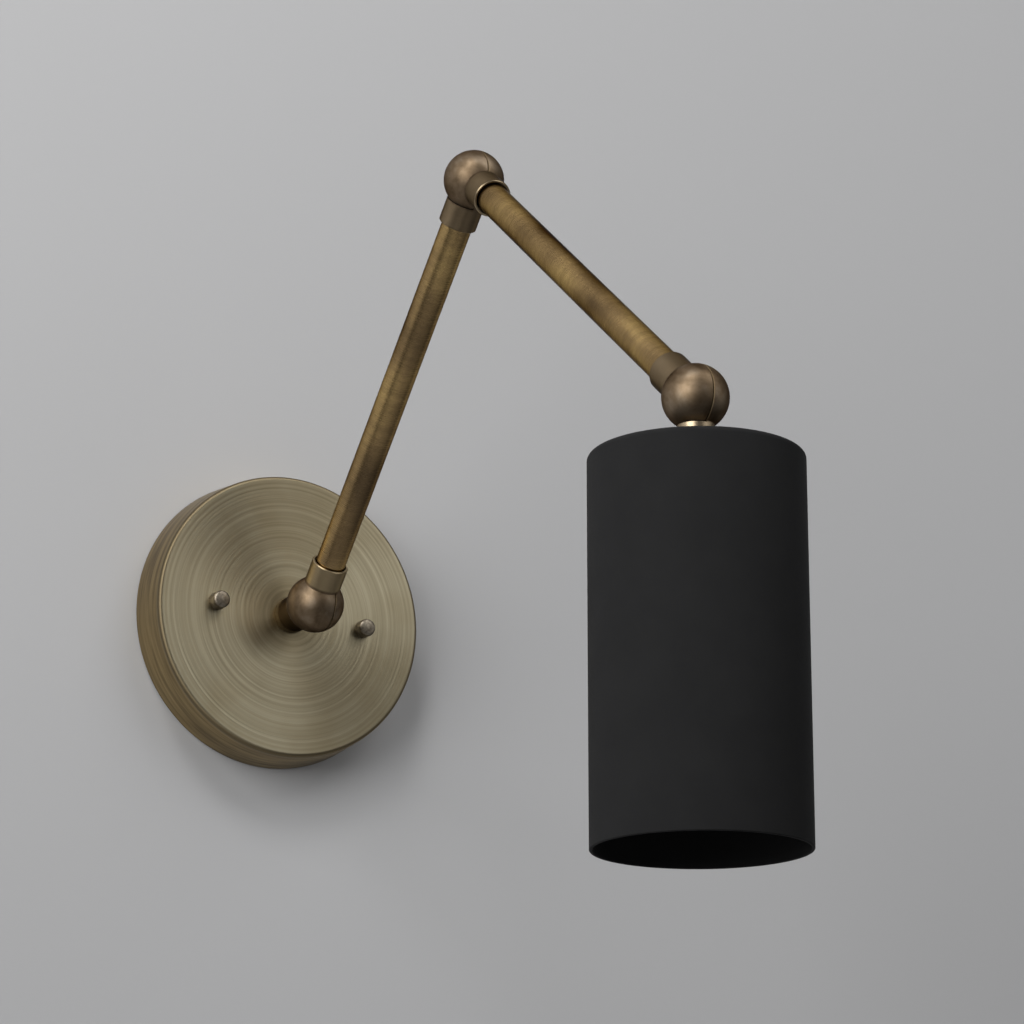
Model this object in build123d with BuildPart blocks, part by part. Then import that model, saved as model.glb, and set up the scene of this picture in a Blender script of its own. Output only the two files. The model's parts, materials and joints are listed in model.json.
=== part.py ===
from build123d import *
import os
from math import cos, radians, sin, sqrt

# An articulating wall lamp: a round canopy on a swivel crossbar, two arms, three split ball swivels
# and a straight cylindrical shade over a bulb socket.
#
# The frame: the origin is the centre of the canopy's back plane, which is the wall plane y = 0.
# The lamp stands out from the wall along -Y, +Z is up, and every ball swivel pivots about an X axis.
# "Reach" is a distance from the wall plane, or from a ball's centre along a collar or the shade.

# ---- driving dimensions, in mm and degrees ------------------------------------------------------

# pose at rest
lower_arm_pitch = 201.73
upper_arm_pitch = 212.8
lower_arm_angle = 46.54
upper_arm_angle = -39.8

# clearances and small breaks shared by the whole lamp
thread_clearance = 0.05
fit_clearance = 0.10
edge_break = 0.35

# canopy
canopy_back_diameter = 127.0
canopy_face_diameter = 123.7
canopy_depth = 20.6
canopy_wall = 1.2
canopy_edge_radius = 1.6

# crossbars and the outlet box pattern
box_screw_spacing = 88.9
box_slot_width = 4.4
box_slot_length = 10.0
box_bar_end_margin = 3.55
box_bar_width = 22.0
stud_bar_end_margin = 7.075
stud_bar_width = 16.0
bar_thickness = 1.6
bar_corner_radius = 4.0
eyelet_bore = 13.0
eyelet_wall = 1.0
eyelet_flange_width = 1.6
eyelet_flange_thickness = 0.7

# canopy studs, their lock nuts and their cap nuts
stud_spacing = 69.85
stud_line_angle = -3.4
stud_diameter = 4.16
stud_relief_diameter = 7.0
stud_nut_flats = 8.7
stud_nut_height = 3.2
cap_nut_diameter = 7.6
cap_nut_height = 5.85
cap_nut_roof = 1.4
cap_nut_round = 1.1

# ground screw
ground_screw_offset = 23.0
ground_screw_diameter = 4.8
ground_head_diameter = 8.6
ground_head_height = 2.6
screw_slot_width = 0.9
screw_slot_depth = 1.1

# hollow threaded pipe that all swivels screw onto
pipe_diameter = 9.6
pipe_bore = 6.6

# nuts and washers on the base nipple
lock_washer_diameter = 17.0
lock_washer_thickness = 1.0
lock_nut_flats = 14.0
lock_nut_height = 4.0
base_nipple_tail = 2.4
base_seat_ring_thickness = 3.5

# ball swivels
ball_diameter = 24.5
ball_wall = 2.2
seam_gap = 0.3
seam_bevel = 0.25
base_seam_offset = 4.0
arm_seam_offset = 0.0
collar_diameter = 15.7
collar_reach = 20.2
head_arm_collar_reach = 22.8
collar_cup_depth = 3.2
collar_cup_ring_gap = 0.6
collar_ball_gap = 0.4
wall_collar_lip_width = 1.5
wall_collar_lip_thickness = 0.6
neck_diameter = 13.4
boss_diameter = 8.4
pipe_ball_gap = 0.4

# pivot of each ball swivel
pivot_diameter = 4.0
pivot_running_clearance = 0.06
pivot_head_diameter = 6.8
pivot_head_height = 2.0
pivot_head_sink = 0.5
pivot_thread_depth = 6.0
pivot_tip_gap = 1.0
spring_washer_thickness = 0.6
spring_washer_diameter = 7.4
washer_hole_clearance = 0.2

# arm tubes
tube_diameter = 12.7
tube_wall = 1.0

# shade
shade_diameter = 77.7
shade_length = 141.0
shade_wall = 1.2
shade_seat_thickness = 1.5
shade_top_radius = 2.2
shade_seat_diameter = 22.0
shade_lock_nut_height = 3.4

# bulb socket
socket_hub_gap = 0.8
socket_hub_diameter = 15.0
socket_hub_height = 8.0
socket_cap_diameter = 34.8
socket_cap_wall = 0.8
socket_cap_slope = 7.0
socket_cap_skirt = 9.0
socket_shell_length = 41.0
socket_shell_wall = 0.6
socket_shell_overlap = 7.0
socket_liner_wall = 0.6
socket_liner_setback = 0.8
insulator_height = 11.0
screw_shell_bore = 26.4
screw_shell_wall = 0.45
screw_shell_length = 25.0
screw_shell_window = 12.0
contact_diameter = 6.0
contact_height = 1.8
contact_stem_diameter = 3.0
terminal_offset = 11.0
terminal_diameter = 3.0
terminal_head_diameter = 5.6
terminal_head_height = 1.6
terminal_depth = 6.0
set_screw_diameter = 3.0

# insulated leads, two side by side in each pipe
lead_diameter = 2.4
lead_seat_gap = 0.15
canopy_lead_tail = 6.0

# ---- sizes that follow from the driving dimensions ----------------------------------------------

ball_radius = ball_diameter / 2
ball_cavity_radius = ball_radius - ball_wall
swept_ball_radius = ball_radius + collar_ball_gap
collar_radius = collar_diameter / 2
neck_radius = neck_diameter / 2
pipe_end_reach = swept_ball_radius + pipe_ball_gap
pipe_hole_radius = pipe_diameter / 2 + thread_clearance
tube_cup_radius = tube_diameter / 2 + collar_cup_ring_gap

pivot_head_top = sqrt(ball_radius**2 - (pivot_head_diameter / 2)**2) - pivot_head_sink
pivot_head_seat = pivot_head_top - pivot_head_height
spring_washer_seat = pivot_head_seat - spring_washer_thickness
pivot_tip = seam_gap / 2 + pivot_thread_depth

canopy_inner_face = canopy_depth - canopy_wall
base_collar_end = canopy_depth + base_seat_ring_thickness
base_ball_reach = base_collar_end + collar_reach
box_bar_length = box_screw_spacing + box_slot_length + 2 * box_bar_end_margin
stud_bar_length = stud_spacing + 2 * stud_bar_end_margin
shade_top_reach = collar_reach + shade_seat_thickness
shade_inner_top = shade_top_reach + shade_wall
shade_lock_nut_end = shade_inner_top + shade_lock_nut_height
socket_hub_top = shade_lock_nut_end + socket_hub_gap
socket_hub_end = socket_hub_top + socket_hub_height
socket_skirt_top = socket_hub_end + socket_cap_slope
socket_cap_end = socket_skirt_top + socket_cap_skirt
socket_shell_top = socket_cap_end - socket_shell_overlap
socket_shell_end = socket_shell_top + socket_shell_length
socket_shell_radius = socket_cap_diameter / 2 - socket_cap_wall - fit_clearance
socket_liner_radius = socket_shell_radius - socket_shell_wall - fit_clearance
insulator_radius = socket_liner_radius - socket_liner_wall - fit_clearance
insulator_end = socket_shell_top + insulator_height

# ---- directions and centres ---------------------------------------------------------------------


def direction_at(angle):
    """The unit direction in the plane x = 0 that rises by this angle from straight out of the wall."""
    return Vector(0, -cos(radians(angle)), sin(radians(angle)))


out_of_wall = Vector(0, -1, 0)
into_wall = Vector(0, 1, 0)
down = Vector(0, 0, -1)
wall_centre = Vector(0, 0, 0)
lower_arm_direction = direction_at(lower_arm_angle)
upper_arm_direction = direction_at(upper_arm_angle)
base_centre = wall_centre + out_of_wall * base_ball_reach
elbow_centre = base_centre + lower_arm_direction * lower_arm_pitch
head_centre = elbow_centre + upper_arm_direction * upper_arm_pitch

# ---- helpers ------------------------------------------------------------------------------------


def profile_plane(centre, direction):
    """For a turned profile: sketch x is the radius, along +X, and sketch y runs along direction."""
    return Plane(origin=centre, x_dir=(1, 0, 0), z_dir=Vector(1, 0, 0).cross(direction))


def cross_plane(centre, direction, reach=0.0):
    """The plane across direction at this reach from centre, with sketch x along +X."""
    return Plane(origin=centre + direction * reach, x_dir=(1, 0, 0), z_dir=direction)


def side_plane(centre, side, distance=0.0):
    """The plane across X at this distance from centre, on the given side and facing away from it."""
    return Plane(origin=Vector(centre) + Vector(side * distance, 0, 0), x_dir=(0, 1, 0), z_dir=(side, 0, 0))


def finish_part(part, name):
    """Label a finished piece and write it as a STEP file."""
    part.label = name
    export_step(part, f"parts/{name}.step")


def tube_part(name, centre, direction, start, end, outer_radius, inner_radius):
    """A plain tube, ring or washer from start to end along direction."""
    with BuildPart() as tube:
        with BuildSketch(cross_plane(centre, direction, start)):
            Circle(outer_radius)
            Circle(inner_radius, mode=Mode.SUBTRACT)
        extrude(amount=end - start)
    finish_part(tube.part, name)


def hex_nut_part(name, locations_plane, spots, flats, height, hole_radius):
    """One or more hex nuts with a chamfered crown, standing on locations_plane at these spots."""
    with BuildPart() as nuts:
        with BuildSketch(locations_plane):
            with Locations(*spots):
                RegularPolygon(radius=flats / 2, side_count=6, major_radius=False)
        extrude(amount=height)
        with BuildSketch(locations_plane):
            with Locations(*spots):
                Circle(flats / 2)
        extrude(amount=height, taper=-45, mode=Mode.INTERSECT)
        with BuildSketch(locations_plane):
            with Locations(*spots):
                Circle(hole_radius)
        extrude(amount=height, mode=Mode.SUBTRACT)
    finish_part(nuts.part, name)


def lead_pair_part(name, centre, direction, start, end):
    """Two insulated leads that lie side by side against the wall of a pipe's bore."""
    seat_radius = pipe_bore / 2 - lead_diameter / 2 - lead_seat_gap
    half_pitch = lead_diameter / 2 + lead_seat_gap / 2
    drop = sqrt(seat_radius**2 - half_pitch**2)
    with BuildPart() as leads:
        with BuildSketch(cross_plane(centre, direction, start)):
            with Locations((-half_pitch, -drop), (half_pitch, -drop)):
                Circle(lead_diameter / 2)
        extrude(amount=end - start)
    finish_part(leads.part, name)


# ---- ball swivels -------------------------------------------------------------------------------


def reach_on_sphere(sphere_radius, radius):
    """How far from the centre along an axis a sphere's surface lies at this radius from the axis."""
    return sqrt(sphere_radius**2 - radius**2)


def collar_end_outline(radius, reach):
    """The broken outer edge of a collar's end, from the collar's side to its end face."""
    return [(radius, reach - edge_break), (radius - edge_break, reach)]


def arm_collar_outline(reach):
    """A collar from the ball to its end at this reach, with a cup there for the arm's tube."""
    cup_floor = reach - collar_cup_depth
    return [
        (collar_radius, reach_on_sphere(ball_radius, collar_radius)),
        *collar_end_outline(collar_radius, reach),
        (tube_cup_radius, reach),
        (tube_cup_radius, cup_floor),
        (pipe_hole_radius, cup_floor),
    ]


def neck_outline():
    """The narrower collar that carries the shade."""
    return [
        (neck_radius, reach_on_sphere(ball_radius, neck_radius)),
        *collar_end_outline(neck_radius, collar_reach),
        (pipe_hole_radius, collar_reach),
    ]


def wall_collar_outline():
    """The collar against the canopy, with a lip that stands out around the ball."""
    lip_radius = collar_radius + wall_collar_lip_width
    lip_back = reach_on_sphere(swept_ball_radius, lip_radius) + wall_collar_lip_thickness
    return [
        (lip_radius, reach_on_sphere(ball_radius, lip_radius)),
        (lip_radius, lip_back),
        (collar_radius, lip_back + wall_collar_lip_width),
        *collar_end_outline(collar_radius, collar_reach),
        (pipe_hole_radius, collar_reach),
    ]


def ball_half_part(name, centre, direction, side, seam_offset, collar_outline, holds_screw_head):
    """The shell on the given side of a ball's seam, with a full round collar along direction.

    The seam lies across X at seam_offset from the ball's centre. The shell is hollow with a central
    boss. Its collar straddles the seam, so beyond the seam it is cut back to clear the other half as
    that turns. The half is shaped at the origin with its collar along +Y and then placed.
    """
    middle_plane = side_plane((0, 0, 0), side)
    seam_face_x = seam_offset + side * seam_gap / 2
    seam_face_plane = middle_plane.offset(side * seam_face_x)
    seam_edge_radius = reach_on_sphere(ball_radius, seam_face_x)
    boss_length = ball_cavity_radius - side * seam_face_x
    cavity_edge = (pipe_hole_radius, reach_on_sphere(ball_cavity_radius, pipe_hole_radius))
    swept_diagonal = swept_ball_radius * sqrt(0.5)
    swept_edge = (seam_face_x, reach_on_sphere(swept_ball_radius, seam_face_x))
    swept_middle = (-side * swept_diagonal, swept_diagonal)
    swept_pole = (-side * swept_ball_radius, 0)
    with BuildPart() as half:
        with BuildSketch(Plane.XY):
            with BuildLine():
                ThreePointArc((0, -ball_radius), (ball_radius, 0), collar_outline[0])
                Polyline(*collar_outline, cavity_edge)
                ThreePointArc(cavity_edge, (ball_cavity_radius, 0), (0, -ball_cavity_radius))
                Line((0, -ball_cavity_radius), (0, -ball_radius))
            make_face()
        revolve(axis=Axis.Y)
        with BuildSketch(Plane.XY):
            with BuildLine():
                ThreePointArc(swept_edge, swept_middle, swept_pole)
                Polyline(swept_pole, (seam_face_x, 0), swept_edge)
            make_face()
        revolve(axis=Axis.X, mode=Mode.SUBTRACT)
        with BuildSketch(seam_face_plane):
            Circle(boss_diameter / 2)
        extrude(amount=boss_length)
        with BuildSketch(Plane.XY):
            with BuildLine():
                Polyline(
                    (seam_face_x, seam_edge_radius - seam_bevel),
                    (seam_face_x + side * 2 * seam_bevel, seam_edge_radius + seam_bevel),
                    (seam_face_x, seam_edge_radius + seam_bevel),
                    close=True,
                )
            make_face()
        revolve(axis=Axis.X, mode=Mode.SUBTRACT)
        if holds_screw_head:
            with BuildSketch(seam_face_plane):
                Circle(pivot_diameter / 2 + pivot_running_clearance)
            extrude(amount=ball_radius, mode=Mode.SUBTRACT)
            with BuildSketch(middle_plane.offset(spring_washer_seat)):
                Circle(spring_washer_diameter / 2 + fit_clearance)
            extrude(amount=ball_radius, mode=Mode.SUBTRACT)
        else:
            with BuildSketch(middle_plane.offset(pivot_tip + pivot_tip_gap)):
                Circle(pivot_diameter / 2 + thread_clearance)
            extrude(amount=-ball_diameter, mode=Mode.SUBTRACT)
    with BuildPart() as placed_half:
        with Locations(profile_plane(centre, direction)):
            add(half.part)
    finish_part(placed_half.part, name)


def pivot_screw_part(name, centre, side):
    """Slotted screw through a ball: its head lies in the side half, its thread in the other half."""
    with BuildPart() as screw:
        with BuildSketch(side_plane(centre, side, -pivot_tip)):
            Circle(pivot_diameter / 2)
        extrude(amount=pivot_tip + pivot_head_seat)
        with BuildSketch(side_plane(centre, side, pivot_head_seat)):
            Circle(pivot_head_diameter / 2)
        extrude(amount=pivot_head_height)
        with BuildSketch(side_plane(centre, side, pivot_head_top)):
            Rectangle(pivot_head_diameter * 2, screw_slot_width)
        extrude(amount=-screw_slot_depth, mode=Mode.SUBTRACT)
    finish_part(screw.part, name)


def swivel_parts(name, centre, seam_offset, fixed_direction, fixed_outline, moving_direction, moving_outline):
    """All pieces of one ball swivel. The half on +X carries the screw head, and faces away in use."""
    screw_half = f"{name}_ball_screw_half"
    thread_half = f"{name}_ball_thread_half"
    ball_half_part(screw_half, centre, fixed_direction, 1, seam_offset, fixed_outline, True)
    ball_half_part(thread_half, centre, moving_direction, -1, seam_offset, moving_outline, False)
    pivot_screw_part(f"{name}_pivot_screw", centre, 1)
    washer_hole = pivot_diameter / 2 + washer_hole_clearance
    with BuildPart() as friction_washer:
        with BuildSketch(side_plane(centre, 1, seam_offset - seam_gap / 2)):
            Circle(boss_diameter / 2)
            Circle(washer_hole, mode=Mode.SUBTRACT)
        extrude(amount=seam_gap)
    finish_part(friction_washer.part, f"{name}_friction_washer")
    with BuildPart() as spring_washer:
        with BuildSketch(side_plane(centre, 1, spring_washer_seat)):
            Circle(spring_washer_diameter / 2)
            Circle(washer_hole, mode=Mode.SUBTRACT)
        extrude(amount=spring_washer_thickness)
    finish_part(spring_washer.part, f"{name}_spring_washer")


# ---- wall end -----------------------------------------------------------------------------------


def wall_plane(reach=0.0):
    """The plane parallel to the wall at this reach, with sketch x along +X and sketch y along +Z."""
    return Plane.XZ.offset(reach)


def spots_on_stud_line(offset):
    """The two points at this offset each side of the centre, on the turned line of the studs."""
    turn = radians(stud_line_angle)
    return [(sign * offset * cos(turn), sign * offset * sin(turn)) for sign in (-1, 1)]


stud_spots = spots_on_stud_line(stud_spacing / 2)
ground_screw_spot = spots_on_stud_line(ground_screw_offset)[0]


def make_canopy():
    """Spun brass dish with a tapered side, a rounded front edge, a pipe hole and two stud holes."""
    back_radius = canopy_back_diameter / 2
    face_radius = canopy_face_diameter / 2
    with BuildPart() as canopy:
        with BuildSketch(profile_plane(wall_centre, out_of_wall)):
            with BuildLine():
                Polyline(
                    (0, canopy_inner_face),
                    (0, canopy_depth),
                    (face_radius, canopy_depth),
                    (back_radius, 0),
                    (back_radius - canopy_wall, 0),
                    (face_radius - canopy_wall, canopy_inner_face),
                    close=True,
                )
            make_face()
        revolve(axis=Axis(wall_centre, out_of_wall))
        front_edge = canopy.edges().filter_by(GeomType.CIRCLE).group_by(Axis.Y)[0].sort_by(SortBy.LENGTH)[-1]
        fillet(front_edge, canopy_edge_radius)
        with BuildSketch(wall_plane(canopy_depth)):
            Circle(pipe_diameter / 2 + fit_clearance)
            with Locations(*stud_spots):
                Circle(stud_diameter / 2 + fit_clearance)
        extrude(amount=-2 * canopy_wall, mode=Mode.SUBTRACT)
    finish_part(canopy.part, "canopy")


def make_crossbars():
    """The box bar, which the outlet box screws hold, and the stud bar in front of it."""
    eyelet_radius = eyelet_bore / 2 + eyelet_wall
    flange_radius = eyelet_radius + eyelet_flange_width
    with BuildPart() as box_bar:
        with BuildSketch(wall_plane()):
            RectangleRounded(box_bar_length, box_bar_width, bar_corner_radius)
            Circle(eyelet_radius + fit_clearance, mode=Mode.SUBTRACT)
            with Locations((-box_screw_spacing / 2, 0), (box_screw_spacing / 2, 0)):
                SlotOverall(box_slot_length, box_slot_width, mode=Mode.SUBTRACT)
            with Locations(*stud_spots, ground_screw_spot):
                Circle(stud_relief_diameter / 2, mode=Mode.SUBTRACT)
        extrude(amount=bar_thickness)
        with BuildSketch(wall_plane()):
            Circle(flange_radius + fit_clearance)
        extrude(amount=eyelet_flange_thickness, mode=Mode.SUBTRACT)
    finish_part(box_bar.part, "box_bar")

    with BuildPart() as stud_bar:
        with BuildSketch(wall_plane(bar_thickness)):
            RectangleRounded(stud_bar_length, stud_bar_width, bar_corner_radius, rotation=stud_line_angle)
            Circle(eyelet_radius + fit_clearance, mode=Mode.SUBTRACT)
            with Locations(*stud_spots):
                Circle(stud_diameter / 2 + thread_clearance, mode=Mode.SUBTRACT)
            with Locations(ground_screw_spot):
                Circle(ground_screw_diameter / 2 + thread_clearance, mode=Mode.SUBTRACT)
        extrude(amount=bar_thickness)
    finish_part(stud_bar.part, "stud_bar")

    front_of_bars = 2 * bar_thickness
    with BuildPart() as eyelet:
        with BuildSketch(profile_plane(wall_centre, out_of_wall)):
            with BuildLine():
                Polyline(
                    (eyelet_bore / 2, 0),
                    (flange_radius, 0),
                    (flange_radius, eyelet_flange_thickness),
                    (eyelet_radius, eyelet_flange_thickness),
                    (eyelet_radius, front_of_bars),
                    (flange_radius, front_of_bars),
                    (flange_radius, front_of_bars + eyelet_flange_thickness),
                    (eyelet_bore / 2, front_of_bars + eyelet_flange_thickness),
                    close=True,
                )
            make_face()
        revolve(axis=Axis(wall_centre, out_of_wall))
    finish_part(eyelet.part, "bar_eyelet")


def make_canopy_fasteners():
    """Studs, their lock nuts, the cap nuts on the canopy's face and the ground screw."""
    front_of_bars = 2 * bar_thickness
    cap_nut_end = canopy_depth + cap_nut_height
    thread_end = cap_nut_end - cap_nut_roof
    with BuildPart() as studs:
        with BuildSketch(wall_plane(bar_thickness)):
            with Locations(*stud_spots):
                Circle(stud_diameter / 2)
        extrude(amount=thread_end - fit_clearance - bar_thickness)
    finish_part(studs.part, "canopy_studs")

    stud_hole = stud_diameter / 2 + thread_clearance
    hex_nut_part(
        "stud_lock_nuts", wall_plane(front_of_bars), stud_spots,
        stud_nut_flats, stud_nut_height, stud_hole,
    )

    with BuildPart() as cap_nuts:
        with BuildSketch(wall_plane(canopy_depth)):
            with Locations(*stud_spots):
                Circle(cap_nut_diameter / 2)
        extrude(amount=cap_nut_height)
        fillet(cap_nuts.faces().sort_by(Axis.Y)[:2].edges(), cap_nut_round)
        with BuildSketch(wall_plane(canopy_depth)):
            with Locations(*stud_spots):
                Circle(stud_hole)
        extrude(amount=cap_nut_height - cap_nut_roof, mode=Mode.SUBTRACT)
    finish_part(cap_nuts.part, "canopy_cap_nuts")

    with BuildPart() as ground_screw:
        with BuildSketch(wall_plane(fit_clearance)):
            with Locations(ground_screw_spot):
                Circle(ground_screw_diameter / 2)
        extrude(amount=front_of_bars - fit_clearance)
        with BuildSketch(wall_plane(front_of_bars)):
            with Locations(ground_screw_spot):
                RegularPolygon(radius=ground_head_diameter / 2, side_count=6, major_radius=False)
        extrude(amount=ground_head_height)
        with BuildSketch(wall_plane(front_of_bars + ground_head_height)):
            with Locations(ground_screw_spot):
                Rectangle(ground_head_diameter * 2, screw_slot_width)
        extrude(amount=-screw_slot_depth, mode=Mode.SUBTRACT)
    finish_part(ground_screw.part, "ground_screw")


def make_base_mount():
    """Nipple, lock washer, lock nut and seat ring that clamp the base swivel to the canopy."""
    washer_back = canopy_inner_face - lock_washer_thickness
    nut_back = washer_back - lock_nut_height
    nipple_back = nut_back - base_nipple_tail
    nipple_front = base_ball_reach - pipe_end_reach
    pipe_radius = pipe_diameter / 2
    tube_part("base_nipple", wall_centre, out_of_wall, nipple_back, nipple_front, pipe_radius, pipe_bore / 2)
    tube_part(
        "base_lock_washer", wall_centre, out_of_wall, washer_back, canopy_inner_face,
        lock_washer_diameter / 2, pipe_hole_radius,
    )
    hex_nut_part(
        "base_lock_nut", wall_plane(nut_back), [(0, 0)],
        lock_nut_flats, lock_nut_height, pipe_hole_radius,
    )
    tube_part(
        "base_seat_ring", wall_centre, out_of_wall, canopy_depth, base_collar_end,
        collar_radius, pipe_hole_radius,
    )
    lead_pair_part("base_leads", wall_centre, out_of_wall, canopy_lead_tail, nipple_front)


# ---- arms ---------------------------------------------------------------------------------------


def make_arm(name, centre, direction, pitch, far_collar_reach):
    """One arm between two swivels: the cover tube in the collar cups, the threaded pipe and the leads."""
    tube_start = collar_reach - collar_cup_depth
    tube_end = pitch - (far_collar_reach - collar_cup_depth)
    tube_part(
        f"{name}_tube", centre, direction, tube_start, tube_end,
        tube_diameter / 2, tube_diameter / 2 - tube_wall,
    )
    pipe_start = pipe_end_reach
    pipe_end = pitch - pipe_end_reach
    tube_part(f"{name}_pipe", centre, direction, pipe_start, pipe_end, pipe_diameter / 2, pipe_bore / 2)
    lead_pair_part(f"{name}_leads", centre, direction, pipe_start, pipe_end)


# ---- shade and socket ---------------------------------------------------------------------------


def below_head(reach=0.0):
    """The plane across the shade's axis at this reach below the head ball's centre."""
    return cross_plane(head_centre, down, reach)


def turned_below_head(name, outline):
    """A piece turned about the shade's axis from an outline of (radius, reach) points."""
    with BuildPart() as turned:
        with BuildSketch(profile_plane(head_centre, down)):
            with BuildLine():
                Polyline(*outline, close=True)
            make_face()
        revolve(axis=Axis(head_centre, down))
    finish_part(turned.part, name)


def make_shade():
    """Straight cylinder, closed above with a rounded corner, and the pieces that clamp it to the neck."""
    shade_radius = shade_diameter / 2
    with BuildPart() as shade:
        with BuildSketch(below_head(shade_top_reach)):
            Circle(shade_radius)
        extrude(amount=shade_length)
        fillet(shade.edges().filter_by(GeomType.CIRCLE).sort_by(Axis.Z)[-1], shade_top_radius)
        with BuildSketch(below_head(shade_inner_top)):
            Circle(shade_radius - shade_wall)
        extrude(amount=shade_length, mode=Mode.SUBTRACT)
        inner_corner = shade.edges().filter_by(GeomType.CIRCLE).group_by(Axis.Z)[-3]
        fillet(inner_corner, shade_top_radius - shade_wall)
        with BuildSketch(below_head(shade_top_reach)):
            Circle(pipe_diameter / 2 + fit_clearance)
        extrude(amount=2 * shade_wall, mode=Mode.SUBTRACT)
    finish_part(shade.part, "shade")

    tube_part(
        "shade_seat_washer", head_centre, down, collar_reach, shade_top_reach,
        shade_seat_diameter / 2, pipe_hole_radius,
    )
    nipple_end = socket_hub_end
    tube_part("shade_nipple", head_centre, down, pipe_end_reach, nipple_end, pipe_diameter / 2, pipe_bore / 2)
    hex_nut_part(
        "shade_lock_nut", below_head(shade_inner_top), [(0, 0)],
        lock_nut_flats, shade_lock_nut_height, pipe_hole_radius,
    )
    lead_pair_part("head_leads", head_centre, down, pipe_end_reach, socket_shell_top)


def make_socket_cap():
    """Socket cap: a hub that screws onto the shade nipple, a sloped shoulder and a skirt."""
    hub_radius = socket_hub_diameter / 2
    cap_radius = socket_cap_diameter / 2
    skirt_bore = cap_radius - socket_cap_wall
    with BuildPart() as cap:
        with BuildSketch(profile_plane(head_centre, down)):
            with BuildLine():
                Polyline(
                    (pipe_hole_radius, socket_hub_top),
                    (hub_radius, socket_hub_top),
                    (hub_radius, socket_hub_end - socket_cap_wall),
                    (cap_radius, socket_skirt_top - socket_cap_wall),
                    (cap_radius, socket_cap_end),
                    (skirt_bore, socket_cap_end),
                    (skirt_bore, socket_skirt_top),
                    (hub_radius - socket_cap_wall, socket_hub_end),
                    (pipe_hole_radius, socket_hub_end),
                    close=True,
                )
            make_face()
        revolve(axis=Axis(head_centre, down))
        with BuildSketch(side_plane(head_centre + down * (socket_hub_top + socket_hub_height / 2), 1)):
            Circle(set_screw_diameter / 2 + thread_clearance)
        extrude(amount=socket_hub_diameter, mode=Mode.SUBTRACT)
    finish_part(cap.part, "socket_cap")

    set_screw_reach = socket_hub_top + socket_hub_height / 2
    set_screw_seat = pipe_diameter / 2 + thread_clearance
    with BuildPart() as set_screw:
        with BuildSketch(side_plane(head_centre + down * set_screw_reach, 1, set_screw_seat)):
            Circle(set_screw_diameter / 2)
        extrude(amount=hub_radius - set_screw_seat)
        with BuildSketch(side_plane(head_centre + down * set_screw_reach, 1, hub_radius)):
            Rectangle(set_screw_diameter * 2, screw_slot_width / 2)
        extrude(amount=-screw_slot_depth, mode=Mode.SUBTRACT)
    finish_part(set_screw.part, "socket_set_screw")


def make_socket():
    """Outer shell, liner, insulator, screw shell, centre contact and terminal screws."""
    shell_bore = socket_shell_radius - socket_shell_wall
    tube_part(
        "socket_shell", head_centre, down, socket_shell_top, socket_shell_end,
        socket_shell_radius, shell_bore,
    )
    tube_part(
        "socket_liner", head_centre, down, socket_shell_top, socket_shell_end - socket_liner_setback,
        socket_liner_radius, socket_liner_radius - socket_liner_wall,
    )
    terminal_spots = [(-terminal_offset, 0), (terminal_offset, 0)]
    with BuildPart() as insulator:
        with BuildSketch(below_head(socket_shell_top)):
            Circle(insulator_radius)
            Circle(contact_stem_diameter / 2 + fit_clearance, mode=Mode.SUBTRACT)
        extrude(amount=insulator_height)
        with BuildSketch(below_head(socket_shell_top)):
            with Locations(*terminal_spots):
                Circle(terminal_diameter / 2 + thread_clearance)
        extrude(amount=terminal_depth + fit_clearance, mode=Mode.SUBTRACT)
        with BuildSketch(below_head(insulator_end)):
            Circle(screw_shell_window / 2)
        extrude(amount=-contact_height, mode=Mode.SUBTRACT)
    finish_part(insulator.part, "socket_insulator")

    shell_radius = screw_shell_bore / 2 + screw_shell_wall
    turned_below_head("screw_shell", [
        (screw_shell_window / 2, insulator_end),
        (shell_radius, insulator_end),
        (shell_radius, insulator_end + screw_shell_length),
        (screw_shell_bore / 2, insulator_end + screw_shell_length),
        (screw_shell_bore / 2, insulator_end + screw_shell_wall),
        (screw_shell_window / 2, insulator_end + screw_shell_wall),
    ])
    with BuildPart() as contact:
        with BuildSketch(below_head(socket_shell_top)):
            Circle(contact_stem_diameter / 2)
        extrude(amount=insulator_height - contact_height)
        with BuildSketch(below_head(insulator_end - contact_height)):
            Circle(contact_diameter / 2)
        extrude(amount=contact_height)
        fillet(contact.edges().filter_by(GeomType.CIRCLE).sort_by(Axis.Z)[0], contact_height / 2)
    finish_part(contact.part, "centre_contact")

    with BuildPart() as terminals:
        with BuildSketch(below_head(socket_shell_top)):
            with Locations(*terminal_spots):
                Circle(terminal_head_diameter / 2)
        extrude(amount=-terminal_head_height)
        with BuildSketch(below_head(socket_shell_top)):
            with Locations(*terminal_spots):
                Circle(terminal_diameter / 2)
        extrude(amount=terminal_depth)
        with BuildSketch(below_head(socket_shell_top - terminal_head_height)):
            with Locations(*terminal_spots):
                Rectangle(terminal_head_diameter * 2, screw_slot_width)
        extrude(amount=screw_slot_depth, mode=Mode.SUBTRACT)
    finish_part(terminals.part, "terminal_screws")


# ---- the whole lamp -----------------------------------------------------------------------------

os.makedirs("parts", exist_ok=True)

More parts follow.
